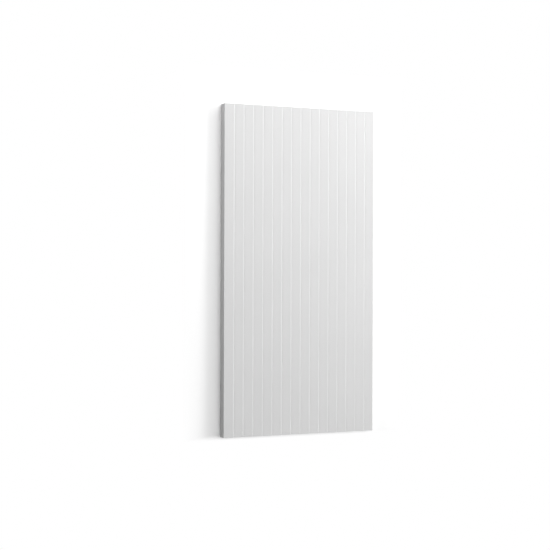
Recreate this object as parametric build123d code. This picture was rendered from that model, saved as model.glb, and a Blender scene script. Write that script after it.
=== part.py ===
from build123d import *
import math
import os

# Wall panel moulded in one piece, lying on its flat back with the ribbed front up.
# X runs across the strips, Y along them, Z through the thickness, all in millimetres.

# Overall sizes
strip_count = 16
strip_pitch = 15.625
panel_length = 500.0
panel_thickness = 16.0  # from the back to the crest of every strip

# Relief of one strip: rolled left side, slightly climbing flat, rounded right edge
lap_height = 1.5  # crest of a strip above the foot of the next one
nose_radius = 1.0  # rounding of the right edge
shoulder_run = 4.5  # width of the rolled left side
shoulder_drop = 0.3  # fall of the rolled side below the line of the flat
root_radius = 0.2  # moulding radius in the corner between two strips

panel_width = strip_count * strip_pitch
foot_height = panel_thickness - lap_height
flat_height = foot_height + shoulder_drop  # where the line of the flat meets a strip's left side

# The flat touches the circle of the nose, so its tilt follows from the two heights
nose_across = strip_pitch - nose_radius
nose_up = panel_thickness - nose_radius - flat_height
flat_tilt = math.atan2(nose_up, nose_across) + math.asin(nose_radius / math.hypot(nose_across, nose_up))
uphill = (math.cos(flat_tilt), math.sin(flat_tilt))
downhill = (-math.cos(flat_tilt), -math.sin(flat_tilt))

# The root's rounding is limited by the upright wall above it
root_wall = lap_height - nose_radius
root_rounding = min(root_radius, root_wall / 2)


def draw_strip(left, rolled):
    """Draws the front of one strip from its left side to its right edge."""
    right = left + strip_pitch
    nose_start = (
        right - nose_radius * (1 + math.sin(flat_tilt)),
        panel_thickness - nose_radius * (1 - math.cos(flat_tilt)),
    )
    nose_end = (right, panel_thickness - nose_radius)
    if rolled:
        flat_start = (left + shoulder_run, flat_height + shoulder_run * math.tan(flat_tilt))
        TangentArc(flat_start, (left, foot_height), tangent=downhill)
    else:
        flat_start = (left, flat_height)
    Line(flat_start, nose_start)
    TangentArc(nose_start, nose_end, tangent=uphill)


def panel_section():
    """Closed section: flat back, square long edges and the row of lapped strips."""
    half_width = panel_width / 2
    joints = [-half_width + number * strip_pitch for number in range(1, strip_count)]
    nose_end_height = panel_thickness - nose_radius
    with BuildSketch(Plane.XZ) as section:
        with BuildLine():
            Line((half_width, 0), (-half_width, 0))
            Line((-half_width, 0), (-half_width, flat_height))
            draw_strip(-half_width, rolled=False)
            for joint in joints:
                Line((joint, nose_end_height), (joint, foot_height))
                draw_strip(joint, rolled=True)
            Line((half_width, nose_end_height), (half_width, 0))
        make_face()
        roots = [section.vertices().sort_by_distance((joint, 0, foot_height))[0] for joint in joints]
        fillet(roots, radius=root_rounding)
    return section.sketch


wall_panel = extrude(panel_section(), amount=panel_length / 2, both=True)

os.makedirs("parts", exist_ok=True)
export_step(wall_panel, "parts/wall_panel.step")
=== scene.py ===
import bpy
import bmesh
import math
from mathutils import Matrix, Vector


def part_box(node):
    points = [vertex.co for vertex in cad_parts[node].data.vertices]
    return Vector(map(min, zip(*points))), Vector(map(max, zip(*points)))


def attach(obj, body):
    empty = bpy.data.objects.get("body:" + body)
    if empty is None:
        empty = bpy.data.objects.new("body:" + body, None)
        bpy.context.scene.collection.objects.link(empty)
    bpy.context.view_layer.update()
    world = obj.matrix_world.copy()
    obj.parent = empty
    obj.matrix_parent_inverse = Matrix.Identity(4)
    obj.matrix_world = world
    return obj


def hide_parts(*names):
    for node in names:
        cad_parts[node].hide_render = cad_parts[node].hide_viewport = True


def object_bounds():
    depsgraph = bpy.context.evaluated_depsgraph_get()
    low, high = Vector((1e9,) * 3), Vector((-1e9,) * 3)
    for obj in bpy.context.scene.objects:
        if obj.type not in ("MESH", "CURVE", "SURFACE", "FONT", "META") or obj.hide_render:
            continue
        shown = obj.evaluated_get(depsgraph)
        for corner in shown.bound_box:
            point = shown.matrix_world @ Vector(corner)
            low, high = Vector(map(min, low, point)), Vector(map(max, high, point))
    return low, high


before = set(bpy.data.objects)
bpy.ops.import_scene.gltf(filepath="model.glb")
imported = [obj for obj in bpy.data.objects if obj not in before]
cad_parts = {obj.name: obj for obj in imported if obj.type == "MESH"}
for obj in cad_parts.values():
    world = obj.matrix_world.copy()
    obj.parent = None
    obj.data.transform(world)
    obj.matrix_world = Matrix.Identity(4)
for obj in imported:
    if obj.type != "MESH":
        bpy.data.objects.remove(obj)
cadBox = [list(corner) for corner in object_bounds()]  # metres, straight after loading
scene = bpy.context.scene
print("frame loaded:", sorted(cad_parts))


# Node helpers: a socket is linked, anything else is set as a plain value
def feed(tree, socket, value):
    if isinstance(value, bpy.types.NodeSocket):
        tree.links.new(value, socket)
    else:
        socket.default_value = value


def addNode(tree, kind, inputs=None, **settings):
    node = tree.nodes.new(kind)
    for name, value in settings.items():
        setattr(node, name, value)
    for name, value in (inputs or {}).items():
        feed(tree, node.inputs[name], value)
    return node


def calc(tree, operation, *values):
    node = addNode(tree, "ShaderNodeMath", operation=operation)
    for socket, value in zip(node.inputs, values):
        feed(tree, socket, value)
    return node.outputs[0]


def vector(tree, x, y, z=0.0):
    return addNode(tree, "ShaderNodeCombineXYZ", {"X": x, "Y": y, "Z": z}).outputs[0]


def grey(value):
    return (value, value, value, 1.0)


# Finishes. The primer is a thin matte coat, the raw polymer shows on the back and the sawn ends.
primer = {
    "name": "primedPolymer",
    "tone": 0.80,
    "toneSpread": 0.012,
    "roughness": 0.74,
    "roughnessSpread": 0.06,
    "specular": 0.3,
    "grainSize": 0.0011,  # orange peel of the coat
    "lineSpacing": 0.0007,  # faint lines that the moulding tool leaves along the strips
    "lineLength": 0.09,
    "lineShare": 0.35,
    "patchSize": 0.07,
    "depth": 0.000005,
}

rawPolymer = {
    "name": "rawPolymer",
    "tone": 0.74,
    "toneSpread": 0.03,
    "roughness": 0.84,
    "roughnessSpread": 0.08,
    "specular": 0.3,
    "grainSize": 0.0006,
    "lineSpacing": 0.0005,  # planing lines on the back, saw marks on the ends
    "lineLength": 0.06,
    "lineShare": 0.5,
    "patchSize": 0.05,
    "depth": 0.00002,
    "cellSize": 0.00055,  # cut foam cells
    "cellDepth": 0.00006,
    # painted shade: each cut cell's pit darkens to this share of the tone at its floor
    "pitShadeTone": 0.90,
    "pitFloor": 0.1,  # from the middle of a cell, as shares of its size
    "pitRim": 0.5,
}

# Grain that both finishes share: fine peel, drawn lines along the length and slow patches
surfaceGrain = {
    "name": "surfaceGrain",
    "peelDetail": 2.0,
    "lineDetail": 1.0,
    "patchDetail": 3.0,
    "fineShare": 0.35,  # of peel and lines in the tone, and patches give the rest
    "noiseLow": 0.3,  # most of a noise lies between these two
    "noiseHigh": 0.7,
}


def buildGrainGroup():
    group = bpy.data.node_groups.new(surfaceGrain["name"], "ShaderNodeTree")
    for name in ("Grain Size", "Line Spacing", "Line Length", "Line Share", "Patch Size"):
        group.interface.new_socket(name=name, in_out="INPUT", socket_type="NodeSocketFloat")
    for name in ("Height", "Tone"):
        group.interface.new_socket(name=name, in_out="OUTPUT", socket_type="NodeSocketFloat")
    sizes = group.nodes.new("NodeGroupInput").outputs
    place = group.nodes.new("ShaderNodeTexCoord").outputs["Object"]
    peel = addNode(group, "ShaderNodeTexNoise", {
        "Vector": place,
        "Scale": calc(group, "DIVIDE", 1.0, sizes["Grain Size"]),
        "Detail": surfaceGrain["peelDetail"],
    })
    acrossScale = calc(group, "DIVIDE", 1.0, sizes["Line Spacing"])
    alongScale = calc(group, "DIVIDE", 1.0, sizes["Line Length"])
    stretched = addNode(group, "ShaderNodeVectorMath", operation="MULTIPLY")
    group.links.new(place, stretched.inputs[0])
    group.links.new(vector(group, acrossScale, alongScale, alongScale), stretched.inputs[1])
    lines = addNode(group, "ShaderNodeTexNoise", {
        "Vector": stretched.outputs[0],
        "Scale": 1.0,
        "Detail": surfaceGrain["lineDetail"],
    })
    patches = addNode(group, "ShaderNodeTexNoise", {
        "Vector": place,
        "Scale": calc(group, "DIVIDE", 1.0, sizes["Patch Size"]),
        "Detail": surfaceGrain["patchDetail"],
    })
    height = addNode(group, "ShaderNodeMix", {
        "Factor": sizes["Line Share"],
        "A": peel.outputs["Fac"],
        "B": lines.outputs["Fac"],
    })
    tone = addNode(group, "ShaderNodeMix", {
        "Factor": surfaceGrain["fineShare"],
        "A": patches.outputs["Fac"],
        "B": height.outputs["Result"],
    })
    result = group.nodes.new("NodeGroupOutput")
    group.links.new(height.outputs["Result"], result.inputs["Height"])
    group.links.new(tone.outputs["Result"], result.inputs["Tone"])
    return group


def startFinish(finish, grainGroup):
    material = bpy.data.materials.new(finish["name"])
    material.use_nodes = True
    tree = material.node_tree
    surface = tree.nodes["Principled BSDF"]
    surface.inputs["Specular IOR Level"].default_value = finish["specular"]
    grain = addNode(tree, "ShaderNodeGroup", {
        "Grain Size": finish["grainSize"],
        "Line Spacing": finish["lineSpacing"],
        "Line Length": finish["lineLength"],
        "Line Share": finish["lineShare"],
        "Patch Size": finish["patchSize"],
    }, node_tree=grainGroup)
    return material, tree, surface, grain


def spread(tree, source, middle, width):
    # The usual range of a noise comes out as middle give or take width
    node = addNode(tree, "ShaderNodeMapRange", {
        "Value": source,
        "From Min": surfaceGrain["noiseLow"],
        "From Max": surfaceGrain["noiseHigh"],
        "To Min": middle - width,
        "To Max": middle + width,
    })
    return node.outputs["Result"]


def paintPrimer(grainGroup):
    material, tree, surface, grain = startFinish(primer, grainGroup)
    tone = spread(tree, grain.outputs["Tone"], primer["tone"], primer["toneSpread"])
    rough = spread(tree, grain.outputs["Height"], primer["roughness"], primer["roughnessSpread"])
    bump = addNode(tree, "ShaderNodeBump", {
        "Distance": primer["depth"],
        "Height": grain.outputs["Height"],
    })
    tree.links.new(tone, surface.inputs["Base Color"])
    tree.links.new(rough, surface.inputs["Roughness"])
    tree.links.new(bump.outputs["Normal"], surface.inputs["Normal"])
    return material


def paintRaw(grainGroup):
    material, tree, surface, grain = startFinish(rawPolymer, grainGroup)
    place = tree.nodes.new("ShaderNodeTexCoord").outputs["Object"]
    cells = addNode(tree, "ShaderNodeTexVoronoi", {
        "Vector": place,
        "Scale": 1.0 / rawPolymer["cellSize"],
    })
    pits = addNode(tree, "ShaderNodeMapRange", {
        "Value": cells.outputs["Distance"],
        "From Min": rawPolymer["pitFloor"],
        "From Max": rawPolymer["pitRim"],
    }, interpolation_type="SMOOTHSTEP")
    # Painted shade: each cut cell's pit darkens towards its floor, where the bump is lowest
    shade = addNode(tree, "ShaderNodeMapRange", {
        "Value": pits.outputs["Result"],
        "To Min": rawPolymer["pitShadeTone"],
        "To Max": 1.0,
    })
    plain = spread(tree, grain.outputs["Tone"], rawPolymer["tone"], rawPolymer["toneSpread"])
    tone = calc(tree, "MULTIPLY", plain, shade.outputs["Result"])
    rough = spread(tree, grain.outputs["Tone"], rawPolymer["roughness"], rawPolymer["roughnessSpread"])
    fine = addNode(tree, "ShaderNodeBump", {
        "Distance": rawPolymer["depth"],
        "Height": grain.outputs["Height"],
    })
    bump = addNode(tree, "ShaderNodeBump", {
        "Distance": rawPolymer["cellDepth"],
        "Height": pits.outputs["Result"],
        "Normal": fine.outputs["Normal"],
    })
    tree.links.new(tone, surface.inputs["Base Color"])
    tree.links.new(rough, surface.inputs["Roughness"])
    tree.links.new(bump.outputs["Normal"], surface.inputs["Normal"])
    return material


grainGroup = buildGrainGroup()
primedFinish = paintPrimer(grainGroup)
rawFinish = paintRaw(grainGroup)
print("finishes ready")

# Wall panel, moulded in one piece. Its overall size comes from the frame, its relief is given in metres.
panel = {
    "name": "lappedPanel",
    "node": "wall_panel",
    "slot": "primed_polymer",
    "stripCount": 16,
    "lapHeight": 0.0015,  # crest of a strip above the foot of the next one
    "noseRadius": 0.0010,
    "shoulderRun": 0.0045,
    "shoulderDrop": 0.0003,
    "rootRadius": 0.0002,
    "edgeRadius": 0.00025,  # eased arris of the long edges
    "shoulderSteps": 16,
    "noseSteps": 14,
    "edgeSteps": 4,
    "lengthSteps": 25,
    "weldDistance": 0.000004,
    "sharpAngle": 35.0,  # degrees
}


def buildPanelTree():
    # The section is drawn in X and Y, swept along Z and then laid flat
    tree = bpy.data.node_groups.new("lappedPanelShape", "GeometryNodeTree")
    tree.interface.new_socket(name="Panel", in_out="OUTPUT", socket_type="NodeSocketGeometry")
    for name in ("Strip Count", "Shoulder Steps", "Nose Steps", "Edge Steps", "Length Steps"):
        tree.interface.new_socket(name=name, in_out="INPUT", socket_type="NodeSocketInt")
    for name in ("Strip Pitch", "Length", "Thickness", "Lap Height", "Nose Radius", "Shoulder Run",
                 "Shoulder Drop", "Root Radius", "Edge Radius", "Weld Distance", "Sharp Angle"):
        tree.interface.new_socket(name=name, in_out="INPUT", socket_type="NodeSocketFloat")
    for name in ("Primed Finish", "Raw Finish"):
        tree.interface.new_socket(name=name, in_out="INPUT", socket_type="NodeSocketMaterial")
    sizes = tree.nodes.new("NodeGroupInput").outputs
    pitch = sizes["Strip Pitch"]
    thickness = sizes["Thickness"]
    nose = sizes["Nose Radius"]
    run = sizes["Shoulder Run"]
    weld = sizes["Weld Distance"]
    width = calc(tree, "MULTIPLY", sizes["Strip Count"], pitch)

    # Heights of one strip. The flat touches the circle of the nose, which gives its slope.
    foot = calc(tree, "SUBTRACT", thickness, sizes["Lap Height"])
    flat = calc(tree, "ADD", foot, sizes["Shoulder Drop"])
    noseAcross = calc(tree, "SUBTRACT", pitch, nose)
    noseUp = calc(tree, "SUBTRACT", calc(tree, "SUBTRACT", thickness, nose), flat)
    reach = calc(tree, "SQRT", calc(tree, "ADD", calc(tree, "POWER", noseAcross, 2.0),
                                    calc(tree, "POWER", noseUp, 2.0)))
    tilt = calc(tree, "ADD", calc(tree, "ARCTAN2", noseUp, noseAcross),
                calc(tree, "ARCSINE", calc(tree, "DIVIDE", nose, reach)))
    slope = calc(tree, "TANGENT", tilt)

    def onFlat(across):
        return calc(tree, "MULTIPLY_ADD", across, slope, flat)

    def line(start, end):
        node = addNode(tree, "GeometryNodeCurvePrimitiveLine", {"Start": start, "End": end})
        return node.outputs["Curve"]

    def join(*parts):
        node = tree.nodes.new("GeometryNodeJoinGeometry")
        for part in parts:
            tree.links.new(part, node.inputs["Geometry"])
        return node.outputs["Geometry"]

    crest = onFlat(pitch)  # sharp corner of the right edge, before it is rounded
    halfRun = calc(tree, "MULTIPLY", run, 0.5)

    # One lapped strip: riser, rolled left side and flat
    shoulder = addNode(tree, "GeometryNodeCurveQuadraticBezier", {
        "Resolution": sizes["Shoulder Steps"],
        "Start": vector(tree, 0.0, foot),
        "Middle": vector(tree, halfRun, onFlat(halfRun)),
        "End": vector(tree, run, onFlat(run)),
    }).outputs["Curve"]
    strip = join(
        line(vector(tree, 0.0, crest), vector(tree, 0.0, foot)),
        shoulder,
        line(vector(tree, run, onFlat(run)), vector(tree, pitch, crest)),
    )
    row = addNode(tree, "GeometryNodeMeshLine", {
        "Count": calc(tree, "SUBTRACT", sizes["Strip Count"], 1),
        "Start Location": vector(tree, pitch, 0.0),
        "Offset": vector(tree, pitch, 0.0),
    })
    strips = addNode(tree, "GeometryNodeInstanceOnPoints", {
        "Points": row.outputs["Mesh"],
        "Instance": strip,
    }).outputs["Instances"]

    # Plain first strip, square long edges and flat back close the section
    outline = join(
        line(vector(tree, 0.0, 0.0), vector(tree, 0.0, flat)),
        line(vector(tree, 0.0, flat), vector(tree, pitch, crest)),
        strips,
        line(vector(tree, width, crest), vector(tree, width, 0.0)),
        line(vector(tree, width, 0.0), vector(tree, 0.0, 0.0)),
    )
    outline = addNode(tree, "GeometryNodeRealizeInstances", {"Geometry": outline}).outputs["Geometry"]
    edges = addNode(tree, "GeometryNodeCurveToMesh", {"Curve": outline}).outputs["Mesh"]
    welded = addNode(tree, "GeometryNodeMergeByDistance", {"Geometry": edges, "Distance": weld})
    loop = addNode(tree, "GeometryNodeMeshToCurve", {"Mesh": welded.outputs["Geometry"]}).outputs["Curve"]

    # Corners are rounded by their height in the section
    position = tree.nodes.new("GeometryNodeInputPosition").outputs["Position"]
    place = addNode(tree, "ShaderNodeSeparateXYZ", {"Vector": position})

    def atHeight(height):
        return calc(tree, "COMPARE", place.outputs["Y"], height, weld)

    isNose = atHeight(crest)
    isRoot = atHeight(foot)
    isEdge = calc(tree, "MAXIMUM", atHeight(flat), atHeight(0.0))
    radius = calc(tree, "MULTIPLY", isNose, nose)
    radius = calc(tree, "MULTIPLY_ADD", isRoot, sizes["Root Radius"], radius)
    radius = calc(tree, "MULTIPLY_ADD", isEdge, sizes["Edge Radius"], radius)
    steps = calc(tree, "MULTIPLY", isNose, sizes["Nose Steps"])
    steps = calc(tree, "MULTIPLY_ADD", calc(tree, "MAXIMUM", isRoot, isEdge), sizes["Edge Steps"], steps)
    section = addNode(tree, "GeometryNodeFilletCurve", {
        "Curve": loop,
        "Radius": radius,
        "Count": steps,
    }, mode="POLY").outputs["Curve"]

    # Sweep over the length and lay the panel on its back
    halfLength = calc(tree, "MULTIPLY", sizes["Length"], 0.5)
    path = line(vector(tree, 0.0, 0.0, calc(tree, "MULTIPLY", halfLength, -1.0)),
                vector(tree, 0.0, 0.0, halfLength))
    path = addNode(tree, "GeometryNodeResampleCurve", {
        "Curve": path,
        "Count": calc(tree, "ADD", sizes["Length Steps"], 1),
    }).outputs["Curve"]
    body = addNode(tree, "GeometryNodeCurveToMesh", {
        "Curve": path,
        "Profile Curve": section,
        "Fill Caps": True,
    }).outputs["Mesh"]
    body = addNode(tree, "GeometryNodeTransform", {
        "Geometry": body,
        "Translation": vector(tree, calc(tree, "MULTIPLY", width, -0.5), 0.0),
        "Rotation": (math.radians(90.0), 0.0, 0.0),
    }).outputs["Geometry"]

    # Smooth over the roundings, crisp at the real edges
    body = addNode(tree, "GeometryNodeSetShadeSmooth", {
        "Geometry": body,
    }, domain="FACE").outputs["Geometry"]
    bend = tree.nodes.new("GeometryNodeInputMeshEdgeAngle").outputs["Unsigned Angle"]
    body = addNode(tree, "GeometryNodeSetShadeSmooth", {
        "Geometry": body,
        "Selection": calc(tree, "GREATER_THAN", bend, sizes["Sharp Angle"]),
        "Shade Smooth": False,
    }, domain="EDGE").outputs["Geometry"]

    # Primer on the front and the long edges, raw polymer on the back and the ends
    isEnd = calc(tree, "COMPARE", calc(tree, "ABSOLUTE", place.outputs["Y"]), halfLength, weld)
    isBack = calc(tree, "COMPARE", place.outputs["Z"], 0.0, weld)
    body = addNode(tree, "GeometryNodeRealizeInstances", {"Geometry": body}).outputs["Geometry"]
    body = addNode(tree, "GeometryNodeSetMaterial", {
        "Geometry": body,
        "Material": sizes["Primed Finish"],
    }).outputs["Geometry"]
    body = addNode(tree, "GeometryNodeSetMaterial", {
        "Geometry": body,
        "Selection": calc(tree, "MAXIMUM", isEnd, isBack),
        "Material": sizes["Raw Finish"],
    }).outputs["Geometry"]
    result = tree.nodes.new("NodeGroupOutput")
    tree.links.new(body, result.inputs["Panel"])
    return tree


def settle(piece, modifier):
    # Turns the modifier's result into the piece's own plain mesh
    depsgraph = bpy.context.evaluated_depsgraph_get()
    mesh = bpy.data.meshes.new_from_object(
        piece.evaluated_get(depsgraph), preserve_all_data_layers=True, depsgraph=depsgraph
    )
    piece.modifiers.remove(modifier)
    piece.data = mesh
    mesh.name = piece.name


def makePanel():
    low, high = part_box(panel["node"])
    values = {
        "Strip Count": panel["stripCount"],
        "Shoulder Steps": panel["shoulderSteps"],
        "Nose Steps": panel["noseSteps"],
        "Edge Steps": panel["edgeSteps"],
        "Length Steps": panel["lengthSteps"],
        "Strip Pitch": (high.x - low.x) / panel["stripCount"],
        "Length": high.y - low.y,
        "Thickness": high.z - low.z,
        "Lap Height": panel["lapHeight"],
        "Nose Radius": panel["noseRadius"],
        "Shoulder Run": panel["shoulderRun"],
        "Shoulder Drop": panel["shoulderDrop"],
        "Root Radius": panel["rootRadius"],
        "Edge Radius": panel["edgeRadius"],
        "Weld Distance": panel["weldDistance"],
        "Sharp Angle": math.radians(panel["sharpAngle"]),
        "Primed Finish": primedFinish,
        "Raw Finish": rawFinish,
    }
    tree = buildPanelTree()
    piece = bpy.data.objects.new(panel["name"], bpy.data.meshes.new(panel["name"]))
    scene.collection.objects.link(piece)
    shape = piece.modifiers.new("panelShape", "NODES")
    shape.node_group = tree
    for item in tree.interface.items_tree:
        if item.in_out == "INPUT":
            shape[item.identifier] = values[item.name]
    settle(piece, shape)
    work = bmesh.new()
    work.from_mesh(piece.data)
    bmesh.ops.recalc_face_normals(work, faces=work.faces[:])
    work.to_mesh(piece.data)
    work.free()
    # Flats keep their own direction, and only the roundings blend
    even = piece.modifiers.new("evenFlats", "WEIGHTED_NORMAL")
    even.mode = "FACE_AREA"
    even.keep_sharp = True
    settle(piece, even)
    return piece


panelPiece = makePanel()
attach(panelPiece, "root")
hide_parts(panel["node"])
print("panel made:", len(panelPiece.data.polygons), "faces")

# Floor: a pale sheet that keeps the shadow round the panel and turns to plain white further out, which
# lightens the shadow's outer edge; past the foot the white is painted light over the panel's shadow
floor = {
    "name": "studioFloor",
    "halfSize": 6.0,
    "drop": 0.0002,  # below the panel's back, so that the two don't share a plane
    "bounceTone": 0.5,
    "shownTone": 1.19,
    "whiteFrom": 0.02,  # distances from the panel's outline
    "whiteTo": 0.06,
    "footWhiteFrom": -0.004,  # the same at the panel's foot, which fades sooner and whitens the panel's shadow there as painted light
    "footWhiteTo": 0.006,
}


def seenDirectly(tree):
    # One where the camera or a reflection sees the surface, nought for light that it sends on
    rays = tree.nodes.new("ShaderNodeLightPath").outputs
    reflected = calc(tree, "MAXIMUM", rays["Is Glossy Ray"], rays["Is Transmission Ray"])
    return calc(tree, "MAXIMUM", rays["Is Camera Ray"], reflected)


def makeFloor():
    size = floor["halfSize"]
    height = cadBox[0][2] - floor["drop"]
    corners = [(x * size, y * size, height) for x, y in ((-1, -1), (1, -1), (1, 1), (-1, 1))]
    mesh = bpy.data.meshes.new(floor["name"])
    mesh.from_pydata(corners, [], [(0, 1, 2, 3)])
    piece = bpy.data.objects.new(floor["name"], mesh)
    scene.collection.objects.link(piece)
    material = bpy.data.materials.new("paleFloor")
    material.use_nodes = True
    tree = material.node_tree
    tree.nodes.clear()
    position = tree.nodes.new("ShaderNodeTexCoord").outputs["Object"]
    place = addNode(tree, "ShaderNodeSeparateXYZ", {"Vector": position}).outputs
    besideX = calc(tree, "SUBTRACT", calc(tree, "ABSOLUTE", place["X"]), cadBox[1][0])
    pastHead = calc(tree, "SUBTRACT", place["Y"], cadBox[1][1])
    pastFoot = calc(tree, "SUBTRACT", cadBox[0][1], place["Y"])

    def whiten(distance, begin, end):
        node = addNode(tree, "ShaderNodeMapRange", {
            "Value": distance,
            "From Min": begin,
            "From Max": end,
        }, interpolation_type="SMOOTHSTEP")
        return node.outputs["Result"]

    # Painted light: the white covers the outer edge of the shadow beside the panel and the shadow past
    # its foot
    fade = calc(tree, "MAXIMUM",
                whiten(calc(tree, "MAXIMUM", besideX, pastHead), floor["whiteFrom"], floor["whiteTo"]),
                whiten(pastFoot, floor["footWhiteFrom"], floor["footWhiteTo"]))
    bounce = addNode(tree, "ShaderNodeBsdfDiffuse", {"Color": grey(floor["bounceTone"])})
    pale = addNode(tree, "ShaderNodeBsdfDiffuse", {"Color": grey(floor["shownTone"])})
    white = addNode(tree, "ShaderNodeEmission", {"Color": grey(1.0), "Strength": 1.0})
    paper = addNode(tree, "ShaderNodeMixShader", {"Fac": fade})
    tree.links.new(pale.outputs[0], paper.inputs[1])
    tree.links.new(white.outputs[0], paper.inputs[2])
    choice = addNode(tree, "ShaderNodeMixShader", {"Fac": seenDirectly(tree)})
    tree.links.new(bounce.outputs[0], choice.inputs[1])
    tree.links.new(paper.outputs[0], choice.inputs[2])
    output = tree.nodes.new("ShaderNodeOutputMaterial")
    tree.links.new(choice.outputs[0], output.inputs["Surface"])
    mesh.materials.append(material)


makeFloor()
print("floor laid")

# Studio light: a soft key from the right, broad light from the top and the front, a low lamp from the
# left that lets the laps cast their shade, and a little from the foot. The low lamps give no sheen.
surround = {"light": 0.02, "shown": 1.0}
lamps = [
    {"name": "key", "size": 0.5, "place": (1.30, 0.60, 0.80), "power": 13.2, "shine": True},
    {"name": "top", "size": 1.2, "place": (0.68, 1.42, 1.10), "power": 19.8, "shine": True},
    {"name": "front", "size": 2.0, "place": (0.00, 0.95, 2.90), "power": 32.0, "shine": True},
    {"name": "left", "size": 0.8, "place": (-1.15, 0.88, 0.45), "power": 5.7, "shine": False},
    {"name": "foot", "size": 0.5, "place": (0.00, -1.60, 0.60), "power": 2.7, "shine": False},
]


def makeSurround():
    world = bpy.data.worlds.new("studio")
    scene.world = world
    world.use_nodes = True
    tree = world.node_tree
    strength = addNode(tree, "ShaderNodeMapRange", {
        "Value": seenDirectly(tree),
        "To Min": surround["light"],
        "To Max": surround["shown"],
    })
    background = tree.nodes["Background"]
    background.inputs["Color"].default_value = grey(1.0)
    tree.links.new(strength.outputs["Result"], background.inputs["Strength"])


def makeLamp(lamp):
    light = bpy.data.lights.new(lamp["name"], "AREA")
    light.shape = "SQUARE"
    light.size = lamp["size"]
    light.energy = lamp["power"]
    holder = bpy.data.objects.new(lamp["name"], light)
    scene.collection.objects.link(holder)
    toPanel = -Vector(lamp["place"])
    holder.location = lamp["place"]
    holder.rotation_euler = toPanel.to_track_quat("-Z", "Y").to_euler()
    holder.visible_camera = False
    holder.visible_glossy = lamp["shine"]


makeSurround()
for lamp in lamps:
    makeLamp(lamp)
print("studio lit by", len(lamps), "lamps")

# Camera at the photograph's angle, looking down on the panel. The image is 550 pixels square.
view = {
    "imageSize": 550,
    "focalPixels": 1247.0,
    "place": (-0.7898, -0.0008, 1.7535),
    "yaw": 23.26,  # degrees, from straight down towards +X
    "pitch": -0.167,
    "roll": 0.195,
    "sensor": 36.0,  # millimetres
    "nearClip": 0.01,
}


def makeCamera():
    yaw = math.radians(view["yaw"])
    pitch = math.radians(view["pitch"])
    roll = math.radians(view["roll"])
    ahead = Vector((math.sin(yaw) * math.cos(pitch), math.sin(pitch), -math.cos(yaw) * math.cos(pitch)))
    level = Vector((math.cos(yaw), 0.0, math.sin(yaw)))
    right = level * math.cos(roll) + level.cross(ahead) * math.sin(roll)
    up = right.cross(ahead)
    data = bpy.data.cameras.new("viewCamera")
    data.sensor_width = view["sensor"]
    data.lens = view["focalPixels"] * view["sensor"] / view["imageSize"]
    data.clip_start = view["nearClip"]
    camera = bpy.data.objects.new("viewCamera", data)
    scene.collection.objects.link(camera)
    turn = Matrix((right, up, -ahead)).transposed().to_4x4()
    camera.matrix_world = Matrix.Translation(view["place"]) @ turn
    scene.camera = camera


makeCamera()
scene.view_settings.view_transform = "Standard"
